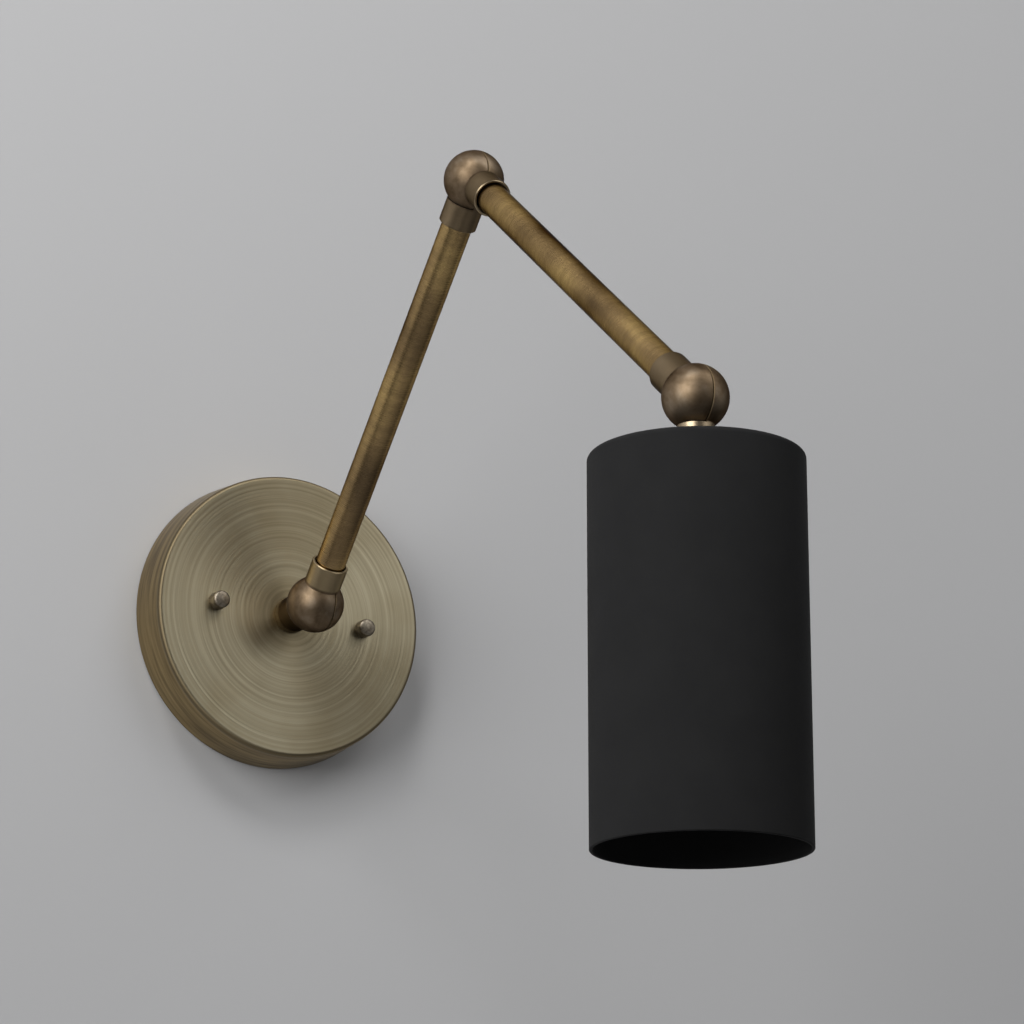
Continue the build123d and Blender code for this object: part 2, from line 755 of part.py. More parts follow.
make_canopy()
make_crossbars()
make_canopy_fasteners()
make_base_mount()
swivel_parts(
    "base", base_centre, base_seam_offset,
    into_wall, wall_collar_outline(), lower_arm_direction, arm_collar_outline(collar_reach),
)
make_arm("lower_arm", base_centre, lower_arm_direction, lower_arm_pitch, collar_reach)
swivel_parts(
    "elbow", elbow_centre, arm_seam_offset,
    -lower_arm_direction, arm_collar_outline(collar_reach),
    upper_arm_direction, arm_collar_outline(collar_reach),
)
make_arm("upper_arm", elbow_centre, upper_arm_direction, upper_arm_pitch, head_arm_collar_reach)
swivel_parts(
    "head", head_centre, arm_seam_offset,
    down, neck_outline(), -upper_arm_direction, arm_collar_outline(head_arm_collar_reach),
)
make_shade()
make_socket_cap()
make_socket()
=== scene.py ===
"""The articulating wall lamp as it looks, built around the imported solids."""
import json
import math
import random

import bmesh
import bpy
from mathutils import Matrix, Vector


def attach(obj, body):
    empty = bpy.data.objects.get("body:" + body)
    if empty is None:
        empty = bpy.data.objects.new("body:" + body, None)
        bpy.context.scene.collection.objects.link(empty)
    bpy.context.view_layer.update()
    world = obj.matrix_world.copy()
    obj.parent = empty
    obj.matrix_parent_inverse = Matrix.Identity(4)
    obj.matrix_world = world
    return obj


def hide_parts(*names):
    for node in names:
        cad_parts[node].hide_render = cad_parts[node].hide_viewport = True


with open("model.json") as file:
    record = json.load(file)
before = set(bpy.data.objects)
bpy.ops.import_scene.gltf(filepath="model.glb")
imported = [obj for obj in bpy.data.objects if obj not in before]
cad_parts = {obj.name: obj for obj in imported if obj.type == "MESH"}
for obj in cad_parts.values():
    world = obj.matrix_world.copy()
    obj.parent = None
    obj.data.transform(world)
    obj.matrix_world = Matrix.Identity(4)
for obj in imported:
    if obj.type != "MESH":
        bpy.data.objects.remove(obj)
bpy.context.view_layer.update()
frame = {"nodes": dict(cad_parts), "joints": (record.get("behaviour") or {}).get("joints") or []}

# ---- sizes in mm, measured as in the solids -----------------------------------------------------

MM = 0.001

CANOPY_BACK_RADIUS = 63.5
CANOPY_FACE_RADIUS = 61.85
CANOPY_DEPTH = 20.6
CANOPY_WALL = 1.2
CANOPY_EDGE_RADIUS = 1.6
CANOPY_HOLE_RADIUS = 4.9
GROOVE_FIRST_RADIUS = 8.6
GROOVE_LAST_RADIUS = 59.3
GROOVE_COUNT = 23
GROOVE_DEPTH = (0.018, 0.042)
GROOVE_STEPS = 8
GROOVE_SEED = 11
GROOVE_WIDTHS = (0.6, 1.4)
GROOVE_LEAN = (0.38, 0.62)
CANOPY_RIM_BREAK = 0.3
CANOPY_INNER_LEAN = 0.3
CANOPY_INNER_BREAK = 1.0
CANOPY_SEGMENTS = 256

STUD_LINE_RADIUS = 34.925
STUD_LINE_ANGLE = -3.4
STUD_RADIUS = 2.08
STUD_START = 1.6
STUD_END = 24.95
STUD_THREAD_PITCH = 0.79
STUD_SEGMENTS = 24
CAP_NUT_RADIUS = 3.8
CAP_NUT_HEIGHT = 5.85
CAP_NUT_ROUND = 1.3
CAP_NUT_DOME = 0.35
CAP_NUT_BORE = 2.13
CAP_NUT_BORE_DEPTH = 4.45
CAP_NUT_BREAK = 0.25
CAP_NUT_ROUND_ANGLE = 78
CAP_NUT_DOME_STEPS = 6
CAP_NUT_SEGMENTS = 48
POLE_RADIUS = 0.001

PIPE_RADIUS = 4.8
PIPE_BORE_RADIUS = 3.3
PIPE_THREAD_PITCH = 0.94
BASE_NIPPLE_SPAN = (12.0, 31.25)
SHADE_NIPPLE_SPAN = (13.05, 35.1)
PIPE_SEGMENTS = 36
THREAD_SHARE = 0.55
THREAD_STEPS_PER_TURN = 8

TUBE_RADIUS = 6.35
TUBE_WALL = 1.0
TUBE_EDGE = 0.25
TUBE_SEGMENTS = 96
ARM_COLLAR_REACH = 20.2
HEAD_ARM_COLLAR_REACH = 22.8
COLLAR_CUP_DEPTH = 3.2
BASE_SEAM_X = 4.0
ARM_SEAM_X = 0.0
SEAM_EDGE_WIDTH = 0.36

SHADE_RADIUS = 38.85
SHADE_WALL = 1.2
SHADE_TOP = 21.7
SHADE_LENGTH = 141.0
SHADE_TOP_RADIUS = 2.2
SHADE_INNER_RADIUS = 1.0
SHADE_HOLE_RADIUS = 4.9
SHADE_RIM_RADIUS = 0.45
SHADE_SEGMENTS = 192

SOCKET_SHELL_RADIUS = 16.5
SOCKET_SHELL_WALL = 0.6
SOCKET_SHELL_SPAN = (44.1, 85.1)
SOCKET_BEAD = 0.35
SOCKET_BEAD_FROM_END = 8
SOCKET_BEAD_WIDTH = 2.6
SOCKET_BEAD_STEPS = 8
SOCKET_SEGMENTS = 96
SCREW_SHELL_BORE = 13.2
SCREW_SHELL_WALL = 0.45
SCREW_SHELL_SPAN = (55.1, 80.1)
SCREW_SHELL_WINDOW = 6.0
SCREW_SHELL_PITCH = 3.63
SCREW_SHELL_THREAD = 0.75
SCREW_SHELL_STEPS_PER_TURN = 12
SCREW_SHELL_FADE_START = 2.5
SCREW_SHELL_FADE_END = 1.5
SCREW_SHELL_SEGMENTS = 72

# ---- places and directions ----------------------------------------------------------------------

joint_at = {joint["name"]: Vector(joint["pos_m"]) / MM for joint in frame["joints"]}
wall_centre = Vector((0, 0, 0))
base_centre = joint_at["base_pivot"]
elbow_centre = joint_at["elbow_pivot"]
head_centre = joint_at["head_pivot"]
out_of_wall = Vector((0, -1, 0))
down = Vector((0, 0, -1))
lower_arm = (elbow_centre - base_centre).normalized()
upper_arm = (head_centre - elbow_centre).normalized()


def place_at(origin, direction):
    """A matrix in mm that puts local z along direction and local x along +X, from origin."""
    z_axis = direction.normalized()
    x_axis = Vector((1, 0, 0))
    y_axis = z_axis.cross(x_axis)
    turn = Matrix((x_axis, y_axis, z_axis)).transposed()
    return Matrix.Translation(origin) @ turn.to_4x4()


# ---- meshes -------------------------------------------------------------------------------------

SHARP_ANGLE = math.radians(38)


def finish_mesh(name, vertices, faces, place, material, body, slot, nodes):
    """An object from vertices in mm in the local frame place, riding on a body in place of CAD nodes."""
    mesh = bpy.data.meshes.new(name)
    mesh.from_pydata([Vector(v) * MM for v in vertices], [], faces)
    work = bmesh.new()
    work.from_mesh(mesh)
    bmesh.ops.remove_doubles(work, verts=work.verts, dist=1e-7)
    bmesh.ops.recalc_face_normals(work, faces=work.faces)
    for face in work.faces:
        face.smooth = True
    for edge in work.edges:
        edge.smooth = len(edge.link_faces) == 2 and edge.calc_face_angle() < SHARP_ANGLE
    work.to_mesh(mesh)
    work.free()
    mesh.materials.append(material)
    piece = bpy.data.objects.new(name, mesh)
    bpy.context.scene.collection.objects.link(piece)
    placed = place.copy()
    placed.translation = placed.translation * MM
    piece.matrix_world = placed
    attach(piece, body)
    if nodes:
        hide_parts(*nodes)
    return piece


def grid_faces(rows, columns, close_rows):
    """Quads over a grid of rows of points that each run once round."""
    faces = []
    for row in range(rows if close_rows else rows - 1):
        upper = (row + 1) % rows
        for column in range(columns):
            beside = (column + 1) % columns
            faces.append((
                row * columns + column, row * columns + beside,
                upper * columns + beside, upper * columns + column,
            ))
    return faces


def lathe(outline, segments):
    """A closed outline of (radius, reach) points turned about the local z axis."""
    vertices = []
    for radius, reach in outline:
        for step in range(segments):
            angle = 2 * math.pi * step / segments
            vertices.append((radius * math.cos(angle), radius * math.sin(angle), reach))
    return vertices, grid_faces(len(outline), segments, True)


def arc(centre, radius, start, end, steps):
    """Points (radius, reach) along an arc between two angles in degrees."""
    points = []
    for step in range(steps + 1):
        angle = math.radians(start + (end - start) * step / steps)
        points.append((centre[0] + radius * math.cos(angle), centre[1] + radius * math.sin(angle)))
    return points


def threaded(major, bore, pitch, start, end, segments):
    """A hollow threaded rod: ridges run round it as one helix, with plain flat ends."""
    depth = pitch * THREAD_SHARE
    steps = max(2, round((end - start) / pitch * THREAD_STEPS_PER_TURN))
    vertices = []
    for row in range(steps + 1):
        reach = start + (end - start) * row / steps
        edge_share = min(1.0, (reach - start) / pitch, (end - reach) / pitch)
        for step in range(segments):
            angle = 2 * math.pi * step / segments
            phase = (reach / pitch - step / segments) % 1.0
            cut = depth * (1 - abs(2 * phase - 1)) if edge_share >= 1 else depth
            radius = major - cut
            vertices.append((radius * math.cos(angle), radius * math.sin(angle), reach))
    for reach in (end, start):
        for step in range(segments):
            angle = 2 * math.pi * step / segments
            vertices.append((bore * math.cos(angle), bore * math.sin(angle), reach))
    return vertices, grid_faces(steps + 3, segments, True)


# ---- materials ----------------------------------------------------------------------------------


class Graph:
    """A node material under construction, with coordinates in mm in the local frame place."""

    def __init__(self, name, place=None):
        self.material = bpy.data.materials.new(name)
        self.material.use_nodes = True
        self.tree = self.material.node_tree
        self.tree.nodes.clear()
        output = self.tree.nodes.new("ShaderNodeOutputMaterial")
        self.shader = self.tree.nodes.new("ShaderNodeBsdfPrincipled")
        self.tree.links.new(self.shader.outputs["BSDF"], output.inputs["Surface"])
        source = self.node("ShaderNodeTexCoord", {}).outputs["Object"]
        location = place.translation * MM if place else Vector((0, 0, 0))
        rotation = place.to_euler() if place else (0, 0, 0)
        mapping = self.node(
            "ShaderNodeMapping",
            {"Vector": source, "Location": location, "Rotation": rotation, "Scale": (MM, MM, MM)},
            vector_type="TEXTURE",
        )
        self.local = mapping.outputs["Vector"]

    def node(self, kind, inputs, **settings):
        made = self.tree.nodes.new(kind)
        for key, value in settings.items():
            setattr(made, key, value)
        for key, value in inputs.items():
            if isinstance(value, bpy.types.NodeSocket):
                self.tree.links.new(value, made.inputs[key])
            else:
                made.inputs[key].default_value = value
        return made

    def math(self, operation, first, second=0.0, clamp=False):
        made = self.node("ShaderNodeMath", {0: first, 1: second}, operation=operation, use_clamp=clamp)
        return made.outputs[0]

    def stretched(self, scale, source=None):
        """The coordinates times a scale per axis."""
        made = self.node(
            "ShaderNodeVectorMath", {0: source or self.local, 1: scale}, operation="MULTIPLY",
        )
        return made.outputs[0]

    def noise(self, source, scale, detail=4.0, roughness=0.55, distortion=0.0):
        made = self.node("ShaderNodeTexNoise", {
            "Vector": source, "Scale": scale, "Detail": detail,
            "Roughness": roughness, "Distortion": distortion,
        })
        return made.outputs["Fac"]

    def ramp(self, factor, stops):
        made = self.node("ShaderNodeValToRGB", {"Fac": factor})
        elements = made.color_ramp.elements
        while len(elements) < len(stops):
            elements.new(0.5)
        for element, (position, colour) in zip(elements, stops):
            element.position = position
            element.color = (*colour, 1) if len(colour) == 3 else colour
        return made.outputs["Color"]

    def blend(self, factor, first, second, mode="MIX"):
        made = self.node(
            "ShaderNodeMix", {"Factor": factor}, data_type="RGBA", blend_type=mode,
        )
        for socket, value in ((made.inputs[6], first), (made.inputs[7], second)):
            if isinstance(value, bpy.types.NodeSocket):
                self.tree.links.new(value, socket)
            else:
                socket.default_value = (*value, 1)
        return made.outputs[2]

    def spread(self, factor, low, high):
        """A factor of 0 to 1 mapped to the range from low to high."""
        made = self.node("ShaderNodeMapRange", {"Value": factor, "To Min": low, "To Max": high})
        return made.outputs["Result"]

    def band(self, value, start, end):
        """0 below start, 1 above end, smooth between them."""
        made = self.node(
            "ShaderNodeMapRange", {"Value": value, "From Min": start, "From Max": end},
            interpolation_type="SMOOTHSTEP",
        )
        return made.outputs["Result"]

    def split(self, source=None):
        return self.node("ShaderNodeSeparateXYZ", {"Vector": source or self.local}).outputs

    def rings(self, radial_scale, around):
        """Coordinates whose first axis runs with the distance from local z, for lines round it."""
        flat = self.stretched((1, 1, 0))
        distance = self.node("ShaderNodeVectorMath", {0: flat}, operation="LENGTH").outputs["Value"]
        unit = self.node("ShaderNodeVectorMath", {0: flat}, operation="NORMALIZE").outputs[0]
        parts = self.split(self.stretched((around, around, 0), unit))
        joined = self.node("ShaderNodeCombineXYZ", {
            0: self.math("MULTIPLY", distance, radial_scale), 1: parts[0], 2: parts[1],
        })
        return joined.outputs[0], distance

    def bump(self, height, distance_mm, strength=1.0, below=None):
        inputs = {"Height": height, "Distance": distance_mm * MM, "Strength": strength}
        if below is not None:
            inputs["Normal"] = below
        return self.node("ShaderNodeBump", inputs).outputs["Normal"]

    def brush_round(self):
        """Stretch the highlights as fine lines round local z do."""
        tangent = self.node("ShaderNodeTangent", {}, direction_type="RADIAL", axis="Z").outputs[0]
        self.tree.links.new(tangent, self.shader.inputs["Tangent"])

    def finish(self, colour, roughness, metallic, normal=None, **constants):
        inputs = self.shader.inputs
        for key, value in (("Base Color", colour), ("Roughness", roughness), ("Normal", normal)):
            if isinstance(value, bpy.types.NodeSocket):
                self.tree.links.new(value, inputs[key])
            elif value is not None:
                inputs[key].default_value = value
        inputs["Metallic"].default_value = metallic
        for key, value in constants.items():
            inputs[key.replace("_", " ")].default_value = value
        return self.material


def canopy_brass():
    """Olive brass, turned on a lathe: rings of tone and fine lines round the centre, with painted shade
    round the centre and on the rounded edge of the face.
    """
    g = Graph("canopy_brass")
    fine, distance = g.rings(3.2, 0.35)
    broad, _ = g.rings(0.48, 0.06)
    reach = g.split()[2]
    fine_lines = g.noise(fine, 1.0, 3.0, 0.7)
    ring_tone = g.noise(broad, 1.0, 3.0, 0.7)
    patches = g.noise(g.local, 0.022, 3.0, 0.5)
    colour = g.ramp(ring_tone, [(0.34, OLIVE_DARK), (0.5, OLIVE_MID), (0.66, OLIVE_LIGHT)])
    colour = g.blend(g.spread(fine_lines, 0.0, 0.4), colour, OLIVE_LINE)
    smoke_and_shade = g.blend(1.0, colour, OLIVE_SMOKE_AND_SHADE, "MULTIPLY")
    colour = g.blend(g.math("MULTIPLY", g.band(patches, 0.42, 0.72), 0.6), colour, smoke_and_shade)
    # painted shade: the face darker round its centre, under the ball and its collars
    painted_shade_near_centre = g.math("SUBTRACT", 1.0, g.band(distance, 8.0, 24.0))
    smoke_and_shade = g.blend(1.0, colour, OLIVE_SMOKE_AND_SHADE, "MULTIPLY")
    colour = g.blend(g.math("MULTIPLY", painted_shade_near_centre, 0.7), colour, smoke_and_shade)
    on_side = g.math("SUBTRACT", 1.0, g.band(reach, CANOPY_DEPTH - 3.0, CANOPY_DEPTH - 1.2))
    side = g.ramp(g.noise(g.stretched((0.03, 0.03, 0.5)), 1.0, 3.0), [(0.3, SIDE_DARK), (0.7, SIDE_LIGHT)])
    colour = g.blend(on_side, colour, side)
    # painted shade: the rounded edge of the face darker, to dim its highlight
    on_edge = g.band(distance, CANOPY_FACE_RADIUS - CANOPY_EDGE_RADIUS, CANOPY_FACE_RADIUS - 0.4)
    on_edge = g.math("MULTIPLY", on_edge, g.math("SUBTRACT", 1.0, on_side))
    colour = g.blend(on_edge, colour, EDGE_PAINTED_SHADE)
    roughness = g.math("ADD", g.spread(fine_lines, 0.34, 0.46), g.math("MULTIPLY", on_edge, 0.16))
    grain = g.bump(fine_lines, 0.008)
    g.brush_round()
    return g.finish(colour, roughness, 1.0, grain, Anisotropic=0.75)


def arm_brass():
    """Antique brass tube: fine lines round it, golden where polished and brown where patinated."""
    g = Graph("arm_brass")
    lines = g.noise(g.stretched((0.03, 0.03, 3.0)), 1.0, 4.0, 0.7)
    bands = g.noise(g.stretched((0.03, 0.03, 0.30)), 1.0, 5.0, 0.65)
    patches = g.noise(g.stretched((1, 1, 0.30)), 0.07, 2.0, 0.4)
    colour = g.ramp(patches, [(0.30, TUBE_BROWN), (0.48, TUBE_MID), (0.64, TUBE_GOLD)])
    colour = g.blend(g.math("MULTIPLY", g.band(bands, 0.35, 0.70), 0.35), colour, TUBE_BROWN)
    colour = g.blend(g.spread(lines, 0.0, 0.35), colour, TUBE_DARK)
    roughness = g.spread(lines, 0.22, 0.32)
    g.brush_round()
    return g.finish(colour, roughness, 1.0, g.bump(lines, 0.005), Anisotropic=0.75, Specular_Tint=EDGE_TINT)


def ball_brass(name, place, rim_reach, seam_x, collar_tones):
    """Satin brown brass of a ball half, mottled; its seam's bevel darker, a painted shade, and its collar's
    rim bright, worn brass with a painted highlight.
    """
    g = Graph(name, place)
    mottle = g.noise(g.local, 0.10, 4.0, 0.6, 0.2)
    grain = g.noise(g.local, 2.6, 4.0, 0.7)
    lines = g.noise(g.stretched((0.15, 0.15, 4.0)), 1.0, 3.0, 0.6)
    reach = g.split()[2]
    colour = g.ramp(mottle, [(0.34, BALL_DARK), (0.5, BALL_MID), (0.66, BALL_LIGHT)])
    colour = g.blend(g.spread(grain, 0.0, 0.25), colour, BALL_DARK)
    on_collar = g.band(reach, 10.0, 11.0)
    collar = g.blend(g.spread(lines, 0.15, 0.75), *collar_tones)
    colour = g.blend(g.math("MULTIPLY", on_collar, 0.85), colour, collar)
    # worn brass and a painted highlight: a bright band at the end of the collar
    rim = g.band(reach, rim_reach - 0.35, rim_reach - 0.15)
    # painted shade: the seam's bevel darker and rougher, to dim its highlight
    from_seam = g.math("ABSOLUTE", g.math("SUBTRACT", g.split()[0], seam_x))
    seam_edge = g.math("SUBTRACT", 1.0, g.band(from_seam, SEAM_EDGE_WIDTH, SEAM_EDGE_WIDTH + 0.1))
    seam_edge = g.math("MULTIPLY", seam_edge, g.math("SUBTRACT", 1.0, on_collar))
    colour = g.blend(g.math("MULTIPLY", rim, 0.45), colour, RIM_WEAR_AND_HIGHLIGHT)
    colour = g.blend(g.math("MULTIPLY", seam_edge, 0.7), colour, SEAM_PAINTED_SHADE)
    roughness = g.math("ADD", g.spread(grain, 0.40, 0.54), g.math("MULTIPLY", seam_edge, 0.2))
    roughness = g.math("SUBTRACT", roughness, g.math("MULTIPLY", on_collar, 0.12))
    normal = g.bump(grain, 0.010, 1.0, g.bump(lines, 0.006))
    return g.finish(colour, roughness, 1.0, normal, Specular_Tint=EDGE_TINT)


def plain_metal(name, light, dark, roughness, scale=0.4, bump_mm=0.01, place=None):
    """A metal with cloudy tone and a fine grain."""
    g = Graph(name, place)
    cloud = g.noise(g.local, scale, 5.0, 0.62, 0.4)
    grain = g.noise(g.local, scale * 9, 4.0, 0.7)
    colour = g.ramp(cloud, [(0.32, dark), (0.68, light)])
    rough = g.spread(grain, roughness - 0.07, roughness + 0.09)
    return g.finish(colour, rough, 1.0, g.bump(grain, bump_mm))


def shade_black():
    """Smooth matte black powder coat with a very fine orange-peel grain."""
    g = Graph("shade_black")
    peel = g.noise(g.local, 1.1, 3.0, 0.5)
    dust = g.noise(g.local, 0.06, 5.0, 0.6)
    colour = g.ramp(dust, [(0.35, BLACK_DEEP), (0.7, BLACK_SOFT)])
    roughness = g.spread(peel, 0.60, 0.72)
    return g.finish(
        colour, roughness, 0.0, g.bump(peel, 0.012), Specular_IOR_Level=0.06, Specular_Tint=BLACK_SHEEN,
    )


def dull(name, light, dark, roughness, scale, bump_mm=0.02):
    """A plastic, fibre or porcelain with cloudy tone and grain."""
    g = Graph(name)
    cloud = g.noise(g.local, scale, 5.0, 0.6)
    grain = g.noise(g.local, scale * 7, 3.0, 0.6)
    colour = g.ramp(cloud, [(0.35, dark), (0.65, light)])
    return g.finish(colour, g.spread(grain, roughness - 0.06, roughness + 0.08), 0.0, g.bump(grain, bump_mm))


OLIVE_DARK = (0.310, 0.268, 0.176)
OLIVE_MID = (0.395, 0.347, 0.237)
OLIVE_LIGHT = (0.480, 0.428, 0.303)
OLIVE_LINE = (0.315, 0.270, 0.174)
# smoke tone for the random patches, and painted shade round the centre of the face
OLIVE_SMOKE_AND_SHADE = (0.70, 0.64, 0.54)
SIDE_DARK = (0.185, 0.134, 0.066)
SIDE_LIGHT = (0.425, 0.316, 0.154)
# painted shade on the rounded edge of the canopy's face
EDGE_PAINTED_SHADE = (0.220, 0.172, 0.100)
TUBE_DARK = (0.090, 0.062, 0.036)
TUBE_BROWN = (0.205, 0.138, 0.072)
TUBE_MID = (0.480, 0.325, 0.148)
TUBE_GOLD = (0.760, 0.525, 0.215)
BALL_DARK = (0.128, 0.089, 0.053)
BALL_MID = (0.222, 0.161, 0.102)
BALL_LIGHT = (0.310, 0.243, 0.172)
COLLAR_TONES = ((0.300, 0.226, 0.138), (0.175, 0.130, 0.078))
# Lit and shaded copies of the collar brass: painted light makes the base collar and the head's neck lighter,
# painted shade makes the wall collar darker.
BASE_COLLAR_LIT_TONES = ((0.420, 0.330, 0.190), (0.270, 0.205, 0.118))
WALL_COLLAR_SHADED_TONES = ((0.170, 0.125, 0.075), (0.095, 0.069, 0.041))
NECK_LIT_TONES = ((0.540, 0.435, 0.292), (0.420, 0.330, 0.216))
# worn brass with a painted highlight on the ends of the collars
RIM_WEAR_AND_HIGHLIGHT = (0.620, 0.500, 0.320)
# painted shade on the bevels of the balls' seams
SEAM_PAINTED_SHADE = (0.200, 0.145, 0.078)
EDGE_TINT = (0.18, 0.20, 0.25, 1.0)
BLACK_DEEP = (0.0205, 0.0205, 0.0209)
BLACK_SOFT = (0.0228, 0.0228, 0.0231)
BLACK_SHEEN = (0.20, 0.20, 0.20, 1.0)

canopy_material = canopy_brass()
tube_material = arm_brass()
bronze = plain_metal("dark_bronze", (0.400, 0.350, 0.275), (0.160, 0.130, 0.096), 0.42, 0.5)
zinc = plain_metal("zinc_steel", (0.560, 0.560, 0.570), (0.400, 0.400, 0.420), 0.36, 0.12, 0.02)
fixture_brass = plain_metal("fixture_brass", (0.560, 0.420, 0.200), (0.380, 0.270, 0.120), 0.32, 0.3)
thin_brass = plain_metal("contact_brass", (0.680, 0.520, 0.240), (0.520, 0.380, 0.160), 0.26, 0.3)
seat_brass = plain_metal("seat_brass", (0.240, 0.180, 0.100), (0.130, 0.095, 0.052), 0.38, 0.3)
green_metal = plain_metal("ground_green", (0.060, 0.260, 0.100), (0.030, 0.160, 0.060), 0.40, 0.4)
black_coat = shade_black()
porcelain = dull("porcelain", (0.800, 0.780, 0.730), (0.720, 0.700, 0.640), 0.30, 0.15, 0.01)
fibre = dull("fibre", (0.090, 0.070, 0.055), (0.050, 0.040, 0.032), 0.75, 0.8)
insulation = dull("lead_insulation", (0.075, 0.075, 0.078), (0.050, 0.050, 0.052), 0.50, 0.5)

# ---- canopy -------------------------------------------------------------------------------------


def groove_points():
    """The turned rings of the canopy's face: shallow dips of uneven width, with ridges between."""
    draw = random.Random(GROOVE_SEED)
    widths = [draw.uniform(*GROOVE_WIDTHS) for _ in range(GROOVE_COUNT)]
    share = (GROOVE_LAST_RADIUS - GROOVE_FIRST_RADIUS) / sum(widths)
    points = []
    radius = GROOVE_FIRST_RADIUS
    for width in widths:
        width *= share
        depth = draw.uniform(*GROOVE_DEPTH)
        lean = draw.uniform(*GROOVE_LEAN)
        for step in range(GROOVE_STEPS):
            part = step / GROOVE_STEPS
            bend = part / lean if part < lean else (1 - part) / (1 - lean)
            points.append((radius + width * part, CANOPY_DEPTH - depth * (1 - math.cos(bend * math.pi)) / 2))
        radius += width
    points.append((radius, CANOPY_DEPTH))
    return points


canopy_outline = [(CANOPY_HOLE_RADIUS, CANOPY_DEPTH), *groove_points()]
side_lean = math.degrees(math.atan2(CANOPY_BACK_RADIUS - CANOPY_FACE_RADIUS, CANOPY_DEPTH))
edge_tangent = CANOPY_EDGE_RADIUS * math.tan(math.radians(90 - side_lean) / 2)
canopy_outline += arc(
    (CANOPY_FACE_RADIUS - edge_tangent, CANOPY_DEPTH - CANOPY_EDGE_RADIUS),
    CANOPY_EDGE_RADIUS, 90, side_lean, 8,
)
canopy_outline += [
    (CANOPY_BACK_RADIUS, CANOPY_RIM_BREAK),
    (CANOPY_BACK_RADIUS - CANOPY_RIM_BREAK, 0),
    (CANOPY_BACK_RADIUS - CANOPY_WALL, 0),
    (
        CANOPY_FACE_RADIUS - CANOPY_WALL - CANOPY_INNER_LEAN,
        CANOPY_DEPTH - CANOPY_WALL - CANOPY_INNER_BREAK,
    ),
    (
        CANOPY_FACE_RADIUS - CANOPY_WALL - (CANOPY_INNER_LEAN + CANOPY_INNER_BREAK),
        CANOPY_DEPTH - CANOPY_WALL,
    ),
    (CANOPY_HOLE_RADIUS, CANOPY_DEPTH - CANOPY_WALL),
]
wall_place = place_at(wall_centre, out_of_wall)
finish_mesh(
    "canopy_dish", *lathe(canopy_outline, CANOPY_SEGMENTS), wall_place,
    canopy_material, "wall_plate", "turned_brass", ["canopy"],
)

cap_outline = [
    (CAP_NUT_BORE, CANOPY_DEPTH),
    (CAP_NUT_RADIUS - CAP_NUT_BREAK, CANOPY_DEPTH),
    (CAP_NUT_RADIUS, CANOPY_DEPTH + CAP_NUT_BREAK),
]
cap_top = CANOPY_DEPTH + CAP_NUT_HEIGHT
cap_outline += arc(
    (CAP_NUT_RADIUS - CAP_NUT_ROUND, cap_top - CAP_NUT_DOME - CAP_NUT_ROUND),
    CAP_NUT_ROUND, 0, CAP_NUT_ROUND_ANGLE, 8,
)
dome_edge_radius, dome_edge_reach = cap_outline[-1]
for step in range(1, CAP_NUT_DOME_STEPS + 1):
    share = step / CAP_NUT_DOME_STEPS
    cap_outline.append((
        dome_edge_radius * (1 - share) + POLE_RADIUS,
        dome_edge_reach + (cap_top - dome_edge_reach) * (1 - (1 - share) ** 2),
    ))
cap_outline += [
    (POLE_RADIUS, CANOPY_DEPTH + CAP_NUT_BORE_DEPTH),
    (CAP_NUT_BORE, CANOPY_DEPTH + CAP_NUT_BORE_DEPTH),
]

for name, sign in (("left", -1), ("right", 1)):
    angle = math.radians(STUD_LINE_ANGLE)
    spot = Vector((sign * STUD_LINE_RADIUS * math.cos(angle), 0, sign * STUD_LINE_RADIUS * math.sin(angle)))
    spot_place = place_at(spot, out_of_wall)
    finish_mesh(
        f"cap_nut_{name}", *lathe(cap_outline, CAP_NUT_SEGMENTS), spot_place,
        bronze, "wall_plate", "dark_bronze", ["canopy_cap_nuts"],
    )
    finish_mesh(
        f"canopy_stud_{name}",
        *threaded(STUD_RADIUS, POLE_RADIUS, STUD_THREAD_PITCH, STUD_START, STUD_END, STUD_SEGMENTS),
        spot_place, zinc, "wall_plate", "zinc_steel", ["canopy_studs"],
    )

finish_mesh(
    "base_nipple_threaded",
    *threaded(PIPE_RADIUS, PIPE_BORE_RADIUS, PIPE_THREAD_PITCH, *BASE_NIPPLE_SPAN, PIPE_SEGMENTS),
    wall_place, fixture_brass, "wall_plate", "socket_brass", ["base_nipple"],
)

# ---- arms ---------------------------------------------------------------------------------------


def tube_outline(length, far_collar_reach):
    """A tube with slightly broken edges, from the cup of one collar to that of the other."""
    inner = TUBE_RADIUS - TUBE_WALL
    start = ARM_COLLAR_REACH - COLLAR_CUP_DEPTH
    end = length - (far_collar_reach - COLLAR_CUP_DEPTH)
    return [
        (inner, start), (TUBE_RADIUS - TUBE_EDGE, start), (TUBE_RADIUS, start + TUBE_EDGE),
        (TUBE_RADIUS, (start + end) / 2), (TUBE_RADIUS, end - TUBE_EDGE),
        (TUBE_RADIUS - TUBE_EDGE, end), (inner, end),
    ]


for name, centre, other, far_collar_reach in (
    ("lower_arm", base_centre, elbow_centre, ARM_COLLAR_REACH),
    ("upper_arm", elbow_centre, head_centre, HEAD_ARM_COLLAR_REACH),
):
    along = other - centre
    outline = tube_outline(along.length, far_collar_reach)
    finish_mesh(
        f"{name}_tube_brushed", *lathe(outline, TUBE_SEGMENTS), place_at(centre, along),
        tube_material, name, "arm_brass", [f"{name}_tube"],
    )

# ---- shade and socket ---------------------------------------------------------------------------

